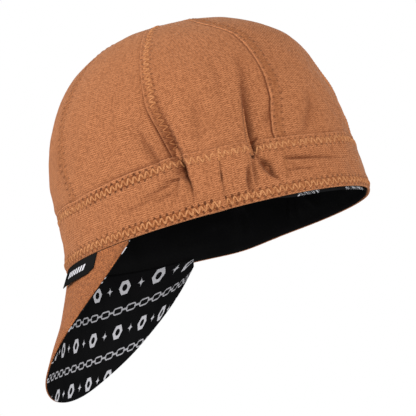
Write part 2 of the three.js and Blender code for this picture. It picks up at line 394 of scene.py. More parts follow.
def hem_swell(distance):
    """How far the layers folded in at an edge of the band lift its face, the needle rows drawn down."""
    at = [0.0, 1.2, 2.4, 3.4, 4.8, 6.2, 7.2, 8.2, 9.4, 11.0]
    swell = [0.0, 0.16, 0.0, 0.18, 0.26, 0.18, 0.0, 0.1, 0.05, 0.0]
    return np.interp(distance, at, swell)


def pucker(run, distance):
    """Small hollows where each stitch draws the cloth in, in step with the zigzag."""
    near = bell(distance, STITCH_INSET, 3.6)
    lean = np.clip((distance - STITCH_INSET) / STITCH_SWING, -1.2, 1.2)
    return 0.16 * near * np.cos(2 * np.pi * run / STITCH_PITCH + np.pi * (lean + 1) / 2)


def band_depth(turn, height):
    """Depth of the band's outer face below the smooth face, and how much painted crease shade it gets there."""
    below_top = band_top(turn) - height
    run = run_of(turn)
    pushed, painted_shade = folds(turn, height)
    free = ease((height - 2) / 9)
    edges = hem_swell(np.clip(below_top, 0, 20)) + hem_swell(np.clip(height + 0.6, 0, 20))
    stitched = pucker(run, below_top) + pucker(run, height + 0.6)
    return pushed * free + unevenness(turn, height) * ease(height / 9) - edges + stitched, painted_shade * free


def seam_turn(number, height, side):
    """How far from the front a crown seam lies at a height, 0 to 4 from front to back, a little different on the
    wearer's right."""
    heights, turns = np.array(SEAM_LINES[number], float).T
    turn = np.interp(height, heights, turns)
    if side < 0 and 0 < number < 4:
        turn = turn + 0.7 * np.sin(height / 23 + number)
    return turn


def is_over(number, side):
    """Whether a panel's front edge and its rear edge lie over the neighbour's. The middle seam lies over to the
    wearer's right, and the rest over the panel in front."""
    return (number > 1 or side < 0), (number == 4 and side < 0)


def crown_depth(number, side, turn, height, behind_seam, before_seam, room):
    """Depth of a crown panel's outer face, and its painted shade in creases, before seams and just above the band.
    An edge that lies over its neighbour stands up and is rolled under, the other kind dips beneath, and the hem slips
    in behind the band."""
    above_band = height - band_top(turn)
    hem = ease((0.6 - above_band) / 2.4)
    open_room = ease(room / 16)
    stands = 0
    dips = 0
    away = half_turn(turn)[0]
    # Painted shade just above the band's upper edge, strongest towards the sides of the front
    dark = (0.5 + 1.5 * bell(away, 76, 15)) * bell(np.clip(above_band, 0, 9), 0, 1.7)
    for over, distance, seam in zip(is_over(number, side), (behind_seam, before_seam), (number - 1, number)):
        if over:
            stands = stands + lap(distance)
        else:
            low = ease((88 - height) / 30)
            shade = SEAM_SHADE_HIGH[seam] * (1 - low) + SEAM_SHADE_LOW[seam] * low
            groove = 0.1 + 0.4 * np.minimum(shade, 1)
            dips = dips + 0.45 * ease((1.6 - distance) / 3.0) + groove * bell(distance, 0.3, 0.8)
            # Painted shade in a line in front of an edge that dips beneath its neighbour
            dark = dark + 3.6 * shade * bell(distance, 0.1, 0.85) * open_room
    pushed, painted_shade = folds(turn, height)
    rest = pushed + unevenness(turn, height) * (0.35 + 0.65 * ease((120 - height) / 60))
    rest = rest * ease((CAP_HEIGHT + 2 - height) / 12)
    stands = stands * (1 - 0.7 * hem) * (1 - 0.75 * ease((height - 100) / 25))
    depth = CROWN_DEPTH + rest + (dips - stands) * open_room + 0.6 * hem + shrink(height)
    return depth, painted_shade + dark


# Mesh making
def strip_faces(index):
    """Quads over grids of vertex numbers, which close round their last axis."""
    index = joined(index, index[..., :1], axis=-1)
    low, high = index[..., :-1, :], index[..., 1:, :]
    return together(low[..., :-1], low[..., 1:], high[..., 1:], high[..., :-1]).reshape(-1, 4)


def cap_faces(front, back):
    """Triangles that close the slit between two runs of vertex numbers, the first run the longer one."""
    step = np.round(np.arange(len(front)) * (len(back) - 1) / (len(front) - 1)).astype(int)
    fan = together(front[:-1], front[1:], back[step[:-1]])
    moves = step[1:] != step[:-1]
    turns = together(front[1:], back[step[1:]], back[step[:-1]])[moves]
    return np.vstack([fan, turns])


def shell_faces(points, first, last, flipped=False):
    """Faces of a closed shell: a section carried along, and the slit at either end closed. The section's outer
    side is its columns from the first up to the last."""
    index = np.arange(points.shape[0] * points.shape[1]).reshape(points.shape[:2])
    outer = index[:, first:last]
    inner = np.roll(index, -last, axis=1)[:, : index.shape[1] - outer.shape[1]][:, ::-1]
    faces = [strip_faces(index), cap_faces(outer[0], inner[0])[:, ::-1], cap_faces(outer[-1], inner[-1])]
    return [block[:, ::-1] for block in faces] if flipped else faces


def painted_shade_map(painted_shade, clear):
    """Map of how dark the painted shade is, which levels off at 1, and of how clear the painted needle holes and
    stitch gaps are.
    """
    return together(1 - np.exp(-painted_shade / PAINTED_SHADE_DEPTH), clear)


def put(name, data):
    """A new object in the scene."""
    thing = bpy.data.objects.new(name, data)
    bpy.context.scene.collection.objects.link(thing)
    return thing


def make_piece(name, points, faces, material, slot, nodes=(), **maps):
    """A mesh piece from points in millimetres. Each map is a UV layer with one pair for each vertex, in mm."""
    mesh = bpy.data.meshes.new(name)
    rows = [row for block in faces for row in block.tolist()]
    mesh.from_pydata((points.reshape(-1, 3) / 1000).tolist(), [], rows)
    mesh.update()
    corners = np.empty(len(mesh.loops), dtype=np.int32)
    mesh.loops.foreach_get("vertex_index", corners)
    for layer, values in maps.items():
        flat = np.ascontiguousarray(values.reshape(-1, 2)[corners], dtype=np.float32)
        mesh.uv_layers.new(name=layer).data.foreach_set("uv", flat.ravel())
    mesh.polygons.foreach_set("use_smooth", np.ones(len(mesh.polygons), dtype=bool))
    mesh.materials.append(material)
    piece = put(name, mesh)
    if nodes:
        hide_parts(*nodes)
    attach(piece, "root")


# Materials
def by_math(operation):
    """A method of Nodes that does one operation."""
    return lambda nodes, *values: nodes.math(operation, *values)


class Nodes:
    """Short forms for building a node tree: every method returns an output socket."""

    def __init__(self, name):
        self.material = bpy.data.materials.new(name)
        self.material.use_nodes = True
        self.tree = self.material.node_tree
        self.shader = self.tree.nodes["Principled BSDF"]

    def link(self, source, target):
        if isinstance(source, (int, float)):
            target.default_value = source
        elif isinstance(source, tuple):
            target.default_value = (*source, 1.0) if len(target.default_value) == 4 else source
        else:
            self.tree.links.new(source, target)

    def node(self, kind, **values):
        """A node of a kind, its inputs set or linked by name."""
        node = self.tree.nodes.new("ShaderNode" + kind)
        for name, value in values.items():
            self.link(value, node.inputs[name])
        return node

    def math(self, operation, *values):
        node = self.node("Math")
        node.operation = operation
        for value, socket in zip(values, node.inputs):
            self.link(value, socket)
        return node.outputs[0]

    # To sway is to go to and fro between 0 and a number
    plus, less, times = by_math("ADD"), by_math("SUBTRACT"), by_math("MULTIPLY")
    most, size, sine = by_math("MAXIMUM"), by_math("ABSOLUTE"), by_math("SINE")
    sway, times_plus = by_math("PINGPONG"), by_math("MULTIPLY_ADD")

    def length(self, x, y):
        return self.math("SQRT", self.plus(self.times(x, x), self.times(y, y)))

    def uv(self, layer):
        node = self.node("UVMap")
        node.uv_map = layer
        split = self.node("SeparateXYZ", Vector=node.outputs[0])
        return split.outputs[0], split.outputs[1]

    def place(self):
        return self.node("TexCoord").outputs["Object"]

    def join(self, x, y, z=0.0):
        return self.node("CombineXYZ", X=x, Y=y, Z=z).outputs[0]

    def noise(self, vector, scale, detail=2.0, rough=0.5):
        return self.node("TexNoise", Vector=vector, Scale=scale, Detail=detail, Roughness=rough).outputs[0]

    def span(self, value, low, high, to_low=0.0, to_high=1.0):
        """A smooth step from one number to another while a value goes from low to high."""
        node = self.node("MapRange", Value=value)
        node.interpolation_type = "SMOOTHSTEP"
        for socket, number in zip(node.inputs[1:5], (low, high, to_low, to_high)):
            socket.default_value = number
        return node.outputs[0]

    def mix(self, share, first, second):
        node = self.node("Mix")
        node.data_type = "RGBA"
        for value, number in ((share, 0), (first, 6), (second, 7)):
            self.link(value, node.inputs[number])
        return node.outputs[2]

    def bump(self, height, strength, distance):
        return self.node("Bump", Height=height, Strength=strength, Distance=distance).outputs[0]

    def finish(self, **values):
        """Sets or links the shader's inputs, each named with _ for a space, and returns the material."""
        for name, value in values.items():
            self.link(value, self.shader.inputs[name.replace("_", " ")])
        return self.material


def weave(n, u, v, warp_pitch, weft_pitch):
    """A plain weave in mm, its threads wandering a little and uneven in thickness. Returns its height, 0 to 1."""
    wander = n.times(n.less(n.noise(n.join(u, v), 0.35, 2.0), 0.5), 2.2)
    warp = n.sine(n.plus(n.times(u, 2 * np.pi / warp_pitch), wander))
    weft = n.sine(n.plus(n.times(v, 2 * np.pi / weft_pitch), wander))
    over = n.times_plus(n.times(warp, weft), 0.5, 0.5)
    rib = n.times_plus(weft, 0.5, 0.5)
    slub = n.noise(n.join(n.times(u, 0.7), v), 1.4, 3.0, 0.6)
    return n.plus(n.times(over, 0.45), n.plus(n.times(rib, 0.25), n.times(slub, 0.3)))


def duck_material(name, shade, light, dark, stitched=True):
    """Brown cotton duck: ribbed plain weave, mottled dye, stitched edges paler from wear and a painted highlight,
    painted shade in creases and seam lines, and along the seams painted shade in needle holes and stitch gaps."""
    n = Nodes(name)
    u, v = n.uv("cloth")
    height = weave(n, u, v, 2.3, 1.35)
    patchy = n.noise(n.place(), 38.0, 4.0, 0.6)
    grainy = n.noise(n.place(), 620.0, 3.0, 0.75)
    colour = n.mix(n.span(height, 0.22, 0.75), dark, light)
    colour = n.mix(n.span(patchy, 0.32, 0.7, 0.0, 0.35), colour, shade)
    colour = n.mix(n.span(grainy, 0.34, 0.6, 0.75 if stitched else 1.0, 0.0), colour, dark)
    relief = n.plus(height, n.times(grainy, 0.8))
    if stitched:
        run, inset = n.uv("seam")
        painted_shade, clear = n.uv("crease")
        # Stitched edges paler: partly wear, partly a painted highlight on the folded edge
        wear_and_highlight = n.times(n.span(inset, 0.2, 1.1, 1.0, 0.0), n.span(grainy, 0.3, 0.6, 0.15, 0.55))
        wear_and_highlight = n.times(wear_and_highlight, n.span(clear, 0.35, 0.55, 0.45, 1.0))
        colour = n.mix(wear_and_highlight, colour, tuple(1.2 * c + 0.003 for c in light))
        # Painted shade in the needle holes at the tips of the zigzag, also dented by the bump
        lower = n.math("GREATER_THAN", inset, STITCH_INSET)
        along = n.sway(n.times_plus(lower, STITCH_PITCH / 2, run), STITCH_PITCH / 2)
        offset = n.size(n.less(inset, STITCH_INSET))
        across = n.times(n.less(offset, STITCH_SWING + 0.1), 0.7)
        away = n.length(along, across)
        ragged = n.plus(away, n.times(n.less(n.noise(n.place(), 400.0, 1.0), 0.5), 1.6))
        hole = n.times(n.span(ragged, 0.35, 1.1, 1.0, 0.0), clear)
        # Painted shade in the gaps beside the thread
        zig = n.sway(run, STITCH_PITCH / 2)
        zig = n.times_plus(zig, 4 * STITCH_SWING / STITCH_PITCH, STITCH_INSET - STITCH_SWING)
        beside = n.size(n.less(inset, zig))
        stitch_gap_shade = n.times(n.span(beside, 0.8, 1.5), n.span(offset, STITCH_SWING - 0.3, STITCH_SWING + 0.5, 1.0, 0.0))
        stitch_gap_shade = n.times(stitch_gap_shade, n.span(clear, 0.25, 0.95, 0.0, 0.75))
        colour = n.mix(stitch_gap_shade, colour, (0.078, 0.02, 0.0045))
        colour = n.mix(n.times(hole, 0.88), colour, (0.03, 0.0055, 0.001))
        relief = n.less(relief, n.times(hole, 1.8))
        # Painted shade in creases, in front of seams and just above the band's edge
        colour = n.mix(n.times(painted_shade, 0.92), colour, (0.036, 0.0055, 0.0007))
    rough = n.span(height, 0.0, 1.0, 0.97, 0.86)
    return n.finish(Base_Color=colour, Roughness=rough, Normal=n.bump(relief, 1.0, 0.00045), Sheen_Weight=0.05,
                    Sheen_Roughness=0.45, Sheen_Tint=(1.0, 0.7, 0.45), Specular_IOR_Level=0.06)


def chain_and_nuts(n, u, v):
    """Share of print at a place in mm: level rows of flat and edge-on chain links by turns, and between them rows
    of solid hexagon nuts and four-pointed sparks."""
    along = n.plus(n.times(u, 0.99), n.times(v, 0.14))
    up = n.less(n.times(v, 0.99), n.times(u, 0.14))
    link_x, row_y = n.sway(along, 6.5), n.sway(up, 15.0)
    flat_x = n.most(n.less(link_x, 2.4), 0.0)
    ring = n.size(n.less(n.length(flat_x, row_y), 2.0))
    edge_on = n.most(n.less(3.5, link_x), n.less(row_y, 0.6))
    chain = n.most(n.span(ring, 0.35, 0.6, 0.75, 0.0), n.span(edge_on, -0.1, 0.15, 0.75, 0.0))
    nut_x, nut_y = n.sway(along, 14.0), n.less(15.0, row_y)
    side = n.plus(n.times(nut_x, 0.866), n.times(nut_y, 0.5))
    rim = n.less(n.most(side, nut_y), 4.6)
    bore = n.less(2.3, n.length(nut_x, nut_y))
    nut = n.span(n.most(rim, bore), -0.12, 0.12, 1.0, 0.0)
    star_x = n.less(14.0, nut_x)
    star = n.plus(n.math("SQRT", star_x), n.math("SQRT", nut_y))
    return n.most(n.most(chain, nut), n.span(star, 1.7, 1.95, 1.0, 0.0))


def stray_marks(n, u, v):
    """Share of print on the little of the lining that shows below the rim: pale broken strokes near its edge."""
    slanted = n.plus(n.times(u, 0.5), n.times(v, 0.5))
    broken = n.noise(n.join(slanted, n.times(v, 0.3)), 2.2, 3.0, 0.7)
    return n.times(n.span(broken, 0.5, 0.57), n.span(v, 0.8, 1.8, 0.85, 0.0))


def slanting_bars(n, u, v):
    """Share of weaving in a pale thread on the tag: one row of short slanting bars."""
    bar = n.sway(n.plus(u, n.times(v, 0.35)), 1.7)
    row = n.size(n.less(v, 6.0))
    ends = n.size(n.less(u, 20.0))
    inside = n.times(n.span(row, 1.7, 2.0, 1.0, 0.0), n.span(ends, 11.6, 12.0, 1.0, 0.0))
    return n.times(n.span(bar, 0.55, 0.8), inside)


def plain_material(name, light, dark, warp_pitch, weft_pitch, pattern, pale=(0.3, 0.3, 0.32)):
    """A finer plain weave of one colour, for linings and ribbon, with a pattern in a paler tone. The print map holds
    the place in mm, or a place far from any motif where the cloth shows none."""
    n = Nodes(name)
    u, v = n.uv("cloth")
    height = weave(n, u, v, warp_pitch, weft_pitch)
    patchy = n.noise(n.place(), 60.0, 3.0, 0.5)
    colour = n.mix(n.span(height, 0.1, 0.9), dark, light)
    colour = n.mix(n.span(patchy, 0.35, 0.7, 0.0, 0.4), colour, dark)
    share = n.times(pattern(n, *n.uv("print")), n.span(height, 0.2, 0.7, 0.7, 1.0))
    colour = n.mix(share, colour, pale)
    normal = n.bump(height, 0.3, 0.00012)
    return n.finish(Base_Color=colour, Roughness=0.9, Normal=normal, Specular_IOR_Level=0.0)


def thread_material(name, light, dark):
    """Golden tan sewing thread: two strands twisted together, seen as slanting bands along each stitch, and some
    stitches more soiled than others."""
    n = Nodes(name)
    along, around = n.uv("cloth")
    twist = n.sine(n.plus(n.times(along, 2 * np.pi / 0.9), n.times(around, 2 * np.pi)))
    soiled = n.noise(n.place(), 560.0, 3.0, 0.7)
    colour = n.mix(n.span(twist, -1.0, 0.6), dark, light)
    colour = n.mix(n.span(soiled, 0.4, 0.6, 0.0, 0.95), colour, dark)
    normal = n.bump(twist, 0.35, 0.00008)
    return n.finish(Base_Color=colour, Roughness=0.8, Normal=normal, Specular_IOR_Level=0.06)


DUCK = duck_material("brown duck", (0.155, 0.055, 0.021), (0.267, 0.108, 0.047), (0.096, 0.031, 0.0108))
BILL_DUCK = duck_material("bill duck", (0.145, 0.047, 0.016), (0.235, 0.083, 0.029), (0.085, 0.026, 0.009), False)
LINING = plain_material("black lining cloth", (0.006, 0.006, 0.0063), (0.0026, 0.0026, 0.0028), 0.7, 0.6, stray_marks)
PRINTED = plain_material("printed black lining cloth", (0.005, 0.005, 0.0053), (0.0017, 0.0017, 0.0019), 0.7, 0.6,
                         chain_and_nuts)
RIBBON = plain_material("black ribbon", (0.0072, 0.007, 0.007), (0.0025, 0.0025, 0.0025), 0.4, 0.9, slanting_bars,
                        (0.32, 0.32, 0.34))
THREAD = thread_material("tan sewing thread", (0.29, 0.14, 0.063), (0.16, 0.058, 0.0205))
FADED_THREAD = thread_material("faded sewing thread", (0.285, 0.132, 0.058), (0.18, 0.067, 0.024))
# Darker copies of the thread: painted shade where stitches run down into the folds, and for the soiled one also dirt
SHADED_THREAD = thread_material("shaded sewing thread", (0.24, 0.102, 0.042), (0.15, 0.053, 0.019))
SOILED_AND_SHADED_THREAD = thread_material("soiled and shaded sewing thread", (0.2, 0.078, 0.03), (0.125, 0.044, 0.016))

# Crown panels
row_ways = np.linspace(0, 90, 9001)
profile = np.stack([share_of(row_ways) * MEAN_RADIUS, height_of(row_ways)])
row_lengths = joined([0], np.cumsum(np.hypot(*np.diff(profile, axis=1))))
hem_length = np.interp(way_of(HEM_HEIGHT), row_ways, row_lengths)
tip_way = np.interp(-TIP_RADIUS / MEAN_RADIUS, -share_of(row_ways)[100:], row_ways[100:])
panel_length = np.interp(tip_way, row_ways, row_lengths) - hem_length

OVER_COLUMNS = np.array([0, 0.2, 0.5, 0.9, 1.5, 2.4, 3.0, 3.6, 4.2, 4.8, 5.4, 6.0, 6.6, 7.2, 8.0, 8.6, 9.2, 10.6])
UNDER_COLUMNS = np.array([-1.0, -0.4, 0.1, 0.5, 0.9, 1.4, 2.0, 2.8, 3.6])


def panel_rows(number, side, length):
    """Rows of a panel at lengths up from its hem: their way, height and share of the rim's size, the run at which
    the panel starts, its width, and how far the columns by its seams draw together."""
    way = np.interp(length + hem_length, row_lengths, row_ways)
    height, share = height_of(way), share_of(way)
    start = run_of(seam_turn(number - 1, height, side))
    width = (run_of(seam_turn(number, height, side)) - start) * share
    return way, height, share, start, width, np.minimum(1, width / FULL_WIDTH)


def crown_panel(number, side, middle_columns):
    """One gore of the crown as a closed shell, 1 to 4 from the front on either side. In each row the columns are
    held at fixed distances from the two seams and spread evenly between, and all draw together towards the tip.
    The inner face has few columns, and follows the folds at its own depth."""
    over_front, over_rear = is_over(number, side)
    length = joined(np.arange(0, 34, 0.75), np.linspace(34, panel_length, 96))[:, None]
    way, height, share, start, width, tight = panel_rows(number, side, length)
    left = (OVER_COLUMNS if over_front else UNDER_COLUMNS) * tight
    right = width - (OVER_COLUMNS if over_rear else UNDER_COLUMNS)[::-1] * tight
    middle = left[:, -1:] + (right[:, :1] - left[:, -1:]) * np.linspace(0, 1, middle_columns + 2)[1:-1]
    across = joined(left, middle, right, axis=1)
    turn = side * turn_of(start + across / share)
    behind, before = across / tight, (width - across) / tight
    depth, painted_shade = crown_depth(number, side, turn, height, behind, before, width)
    for over, distance, pull in ((over_front, behind, 1.0), (over_rear, before, REAR_PULL)):
        if over:
            depth = depth + pull * pucker(length, distance) * ease(width / 16)
    columns = across.shape[1]
    inner_columns = np.linspace(0, columns - 1, 14).round().astype(int)[::-1]
    inner_turn = turn[:, inner_columns]
    inner_depth = folds(inner_turn, height)[0] + unevenness(inner_turn, height) * 0.5 + shrink(height)
    inner_depth = np.maximum(CROWN_DEPTH + CROWN_WALL + inner_depth, depth[:, inner_columns] + 0.5)
    points = joined(sunk(turn, way, depth), sunk(inner_turn, way, inner_depth), axis=1)
    inset = np.minimum(behind if over_front else UNSTITCHED, before if over_rear else UNSTITCHED) + 0 * across
    clear = np.where(behind < before, SEAM_HOLES[number - 1], SEAM_HOLES[number])
    every = joined(np.arange(columns), inner_columns)
    inner = np.arange(len(every)) >= columns
    panel = number if side > 0 else 9 - number
    make_piece(
        f"duck_panel_{panel}", points, shell_faces(points, 0, columns, side < 0), DUCK, "duck",
        [f"crown_panel_{panel}"], cloth=together((across - width / 2)[:, every], length),
        seam=together(length, np.where(inner, UNSTITCHED, inset[:, every])),
        crease=painted_shade_map(np.where(inner, 0, painted_shade[:, every]), np.where(inner, 0, clear[:, every])),
    )


for side in (1, -1):
    for number in range(1, 5):
        crown_panel(number, side, (66, 90, 124, 66)[number - 1])


# Band
def band_piece(name, from_turn, to_turn, tucked, node):
    """One length of the band as a closed shell: a section that goes up the outer face, over the rolled upper edge,
    down the inner face and round the rolled rim, carried round the cap. The inner face lies deep at the rim, where
    the hem is folded in, and less deep above it. A tucked end slips in behind its neighbour, and the other kind
    is rolled over."""
    outer_share = np.linspace(0, 1, 52)
    rise = joined([0.0, 0.0, 0.0], outer_share, [1, 1, 1, 1, 1], [1, 0.8, 0.62, 0.4, 0.22, 0.1, 0.03])
    lift = joined(
        [0.35, 0.0, 0.25], 0.9 - 1.7 * outer_share, [-0.35, 0.0, 0.05, -0.2, -0.8], [-2.5, 0, 0, 0, 0, 0, 0.6],
    )
    extra = joined([1.55, 1.0, 0.35], 0 * outer_share, [0.12, 0.42, 0.8, 1.15, 1.25], np.full(7, np.nan))
    is_inner = np.isnan(extra)
    first, last = run_of(from_turn), run_of(to_turn)
    span = np.linspace(first, last, int((last - first) / 0.5))
    run = joined(span[:1] + [0, 0.15, 0.35], span[1:-1], span[-1:] - [0.35, 0.15, 0])[:, None]
    flat_turn = turn_of(run)
    top = band_top(flat_turn)
    height = top * rise + lift
    near_seams = bell(flat_turn, BAND_SEAM_TURN, 14) - bell(flat_turn % 360, 360 - BAND_SEAM_TURN, 14)
    turn = flat_turn + (np.interp(height, *np.array(BAND_SEAM, float).T) - BAND_SEAM_TURN) * near_seams
    depth, painted_shade = band_depth(turn, height)
    base = np.where(is_inner, 1.85 - 0.65 * ease((height - 9) / 9), extra)
    along = np.minimum(run - run[0], run[-1] - run)
    if tucked:
        past = along - (run_of(BAND_SEAM_TURN) - run_of(BAND_SEAM_TURN - BAND_OVERLAP))
        depth = depth + 1.25 * ease((0.9 - past) / 3.0)
        base = np.minimum(base, 1.1 + 1.5 * ease((along - 10) / 4))
        slit = ease((height - 9) / 6) * (0.45 + 1.8 * bell(height, 20, 2.6)) * ease((top - height - 4) / 6)
        depth = depth + 0.6 * slit * bell(past, 0.4, 0.8)
        # Painted shade down the slit where the back piece tucks in
        painted_shade = painted_shade + 2.0 * slit * bell(past, 0.3, 0.6)
    else:
        depth = depth - 0.4 * ease((5 - along) / 4) + 0.75 * (1 - np.sqrt(np.clip(along / 0.55, 0, 1)))
        base = np.minimum(base, 1.0 + 1.6 * ease((along - 1) / 6))
    points = sunk(turn, way_of(height), depth + base)
    points[..., 2] += np.minimum(height, 0)
    away = half_turn(flat_turn)[0]
    # How strong the painted needle holes and the painted shade in the stitch gaps are; low down beside the bill they
    # are stronger, as painted shade where the rim curls under
    clear = 0.45 + 0.55 * bell(away, 68, 16) - 0.3 * bell(away, 105, 10)
    clear = np.where(height > top / 2, clear, 0.6 + 0.4 * bell(away, 90, 22))
    inset = np.minimum(top - height, height + 0.6)
    if not tucked:
        clear = np.where(along < inset, 0.0, clear)
        inset = np.minimum(inset, along + 0.3)
    make_piece(
        name, points, shell_faces(points, 2, 59, True), DUCK, "duck", [node], cloth=together(run, height),
        seam=together(run, np.where(is_inner, UNSTITCHED, inset)), crease=painted_shade_map(painted_shade, clear),
    )


band_piece("duck_band_front", -BAND_SEAM_TURN, BAND_SEAM_TURN, False, "band_front")
tucked_turn = BAND_SEAM_TURN - BAND_OVERLAP
band_piece("duck_band_back", tucked_turn, 360 - tucked_turn, True, "band_back")


# Lining
def lining_bowl():
    """The lining as one bowl: from a pole inside the top, down its inner face, round its lower edge and up the
    outer face to the outer pole, carried right round. It follows the folds at its own depth."""
    rows = 76
    ways = np.interp(np.linspace(0, row_lengths[-1] * 0.995, rows), row_lengths, row_ways)
    way = joined(ways[::-1], ways[:1], ways[::2])[:, None]
    extra = joined(np.full(rows, 0.9), [0.45], np.zeros(rows // 2))[:, None]
    sink = np.where(np.arange(len(extra)) == rows, -0.3, 0.0)[:, None]
    turn = np.linspace(-180, 180, 421)[None, :-1]
    height = height_of(way)
    calm = ease((height - 2) / 9)
    rest = folds(turn, height)[0] * calm * 0.85 + unevenness(turn, height) * 0.6 * calm
    depth = LINING_DEPTH - 0.75 * ease((12 - height) / 8) + extra + shrink(height)
    points = sunk(turn, way, depth + rest * ease((CAP_HEIGHT + 2 - height) / 12))
    away, side = half_turn(turn)
    over_bill = ease((BILL_SPAN / 2 + 1 - away) / 4)
    peeping = ease((away - 118) / 10) * ease((182 - away) / 8) * (side > 0)
    points[..., 2] += 0.5 + sink + (1.5 * over_bill - 1.9 * peeping) * ease((8 - height) / 8)
    index = np.arange(points.shape[0] * points.shape[1]).reshape(points.shape[:2])
    poles = np.array([[0, 0, points[0, :, 2].mean()], [0, 0, points[-1, :, 2].mean()]])
    faces = [
        strip_faces(index)[:, ::-1],
        together(index[0], np.roll(index[0], -1), index.size),
        together(np.roll(index[-1], -1), index[-1], index.size + 1),
    ]
    cloth = np.vstack([together(run_of(turn), height).reshape(-1, 2), [[0, 140], [0, 140]]])
    marked = ease((away - 126) / 3) * ease((141 - away) / 3) + ease((away - 149) / 4) * ease((173 - away) / 4)
    hidden = np.append(np.broadcast_to(20 * (1 - marked * (side > 0)), points.shape[:2]), [20, 20])
    make_piece(
        "lining_bowl", np.vstack([points.reshape(-1, 3), poles]), faces, LINING, "lining_cloth", ["lining"],
        cloth=cloth, print=together(cloth[:, 0], cloth[:, 1] + hidden),
    )


lining_bowl()


# Bill
def bill(turn, reach, depth):
    """The bill falls from the rim along straight headings that splay less than the rim does, its slope easing
    evenly towards the tip. Reach is measured down the bill and depth inwards from the band's outer face."""
    turn, reach, depth = np.broadcast_arrays(turn, reach, depth)
    x, y = rim(turn)
    ahead, back = rim(turn + 0.5), rim(turn - 0.5)
    heading = BILL_WRAP * np.arctan2(ahead[1] - back[1], ahead[0] - back[0])
    start, tip = rad(BILL_SLOPES[0]), rad(BILL_SLOPES[1])
    easing = tip - start
    slope = start + easing * reach / BILL_LENGTH
    splay = 1 + BILL_FLARE * (turn / (BILL_SPAN / 2)) ** 2
    outward = splay * BILL_LENGTH / easing * (np.sin(slope) - np.sin(start))
    drop = BILL_LENGTH / easing * (np.cos(start) - np.cos(slope))
    out = outward - depth / np.sin(slope)
    forward = 2.0 * ease((reach - 12) / 45)
    return together(x + out * np.sin(heading), y - out * np.cos(heading) - forward, -drop - CLEARANCE)


def bill_reach(turn):
    """How far the bill reaches down at a turn."""
    across = np.minimum(1, np.abs(turn) / (BILL_SPAN / 2))
    return BILL_END_LENGTH + (BILL_LENGTH - BILL_END_LENGTH) * (1 - across**BILL_ROUNDNESS) ** BILL_TAPER


def bill_sag(turn, reach):
    """Slow ripples of the soft bill, still at the rim and stronger towards the tip."""
    loose = ease(reach / 45)
    return loose * (0.5 * np.sin(rad(turn) * 5.2 + 0.8) + 0.35 * np.sin(rad(turn) * 11 + reach / 15)
                    + 0.2 * np.sin(reach / 7.5 + rad(turn) * 7))


def bill_layer(name, outer_depth, wall, above, longer, rolled, material, slot, node):
    """One layer of the bill as a closed shell: a section that goes down its outer face, round the rolled edge and
    back up the inner face, carried from one side of the bill to the other."""
    turn = (BILL_SPAN / 2 * np.sin(np.linspace(-np.pi / 2, np.pi / 2, 221)))[:, None]
    down = np.linspace(0, 1, 60)
    up = np.linspace(1, 0, 42)
    share = joined(down, [1, 1, 1], up)[None, :]
    beyond = joined(0 * down, [0.28, 0.4, 0.28], 0 * up)[None, :] * wall
    inward = joined(0 * down, [0.2, 0.5, 0.8], 1 + 0 * up)[None, :] * wall
    reach = share * (bill_reach(turn) + longer + above) - above + beyond
    near_edge = ease((reach - (bill_reach(turn) - 6)) / 6)
    depth = outer_depth + inward + bill_sag(turn, reach) + rolled * near_edge
    points = bill(turn, reach, depth)
    steps = np.linalg.norm(np.diff(points, axis=0), axis=-1)
    along = joined(0 * steps[:1], np.cumsum(steps, axis=0))
    along = along - along[len(along) // 2]
    cloth = together(along, reach)
    faces = shell_faces(points, 0, 62)
    make_piece(name, points, faces, material, slot, [node], cloth=cloth, print=cloth)


bill_layer("duck_bill", BILL_DEPTH, 1.1, 0.0, 0.0, 0.0, BILL_DUCK, "duck", "bill_cover")
bill_layer("printed_bill_lining", BILL_LINING_DEPTH, 0.9, 2.4, 0.35, -0.35, PRINTED, "lining_cloth", "bill_lining")

# Side tag
TAG_TURN = 41.0
TAG_WIDTH = 41.0
TAG_HEIGHT = 11.5


def tag_face(across, down, depth):
    """A point of the tag: across from its front end, 0 to 1, and down from the rim, 0 to 1. It hangs flat over
    the bill, its front lower corner standing off."""
    x, y = rim(TAG_TURN)
    spread = np.degrees(TAG_WIDTH / 2 / np.hypot(x, y))
    turn = TAG_TURN + spread * (2 * across - 1)
    stands = 1.9 * down * (1 - across) ** 1.5 + 0.25 * np.sin(np.pi * across) * down
    reach = down * TAG_HEIGHT * (1 - 0.18 * ease((across - 0.86) / 0.14))
    return bill(turn, reach, BILL_DEPTH - 0.15 + depth - stands)


def side_tag():
    """A loop of ribbon as a closed shell: a section that goes down the front, round the folded lower edge and up
    the back, carried along the tag."""
    across = np.linspace(0, 1, 61)[:, None]
    down = joined(np.linspace(0, 1, 20), [1.03, 1.045, 1.03], np.linspace(1, 0, 20))[None, :]
    depth = joined(np.full(20, -0.85), [-0.75, -0.45, -0.15], np.full(20, 0.0))[None, :]
    points = tag_face(across, down, depth)
    cloth = together(across * TAG_WIDTH, down * TAG_HEIGHT)
    faces = shell_faces(points, 0, 22)
    make_piece("ribbon_tag", points, faces, RIBBON, "ribbon", ["side_tag"], cloth=cloth, print=cloth)


side_tag()


# Stitching
def band_face(run, height, lift):
    """A point that stands a little off the band's outer face."""
    turn = turn_of(run)
    return sunk(turn, way_of(height), band_depth(turn, height)[0] - lift)


def band_top_face(run, inset, lift):
    """A point on the band, measured along the rim and down from its upper edge."""
    return band_face(run, band_top(turn_of(run)) - inset, lift)


def rim_face(run, inset, lift):
    """A point on the band, measured along the rim and up from its lower edge."""
    return band_face(run, inset - 0.6, lift)


def seam_face(number, side, at_rear):
    """A point on the lapped edge of a crown panel, measured up from the hem and back from its seam."""

    def face(length, inset, lift):
        way, height, share, start, width, tight = panel_rows(number, side, length)
        behind = width / tight - inset if at_rear else inset
        turn = side * turn_of(start + behind * tight / share)
        depth, _ = crown_depth(number, side, turn, height, behind, width / tight - behind, width)
        return sunk(turn, way, depth + pucker(length, inset) * (REAR_PULL if at_rear else 1.0) - lift)

    return face


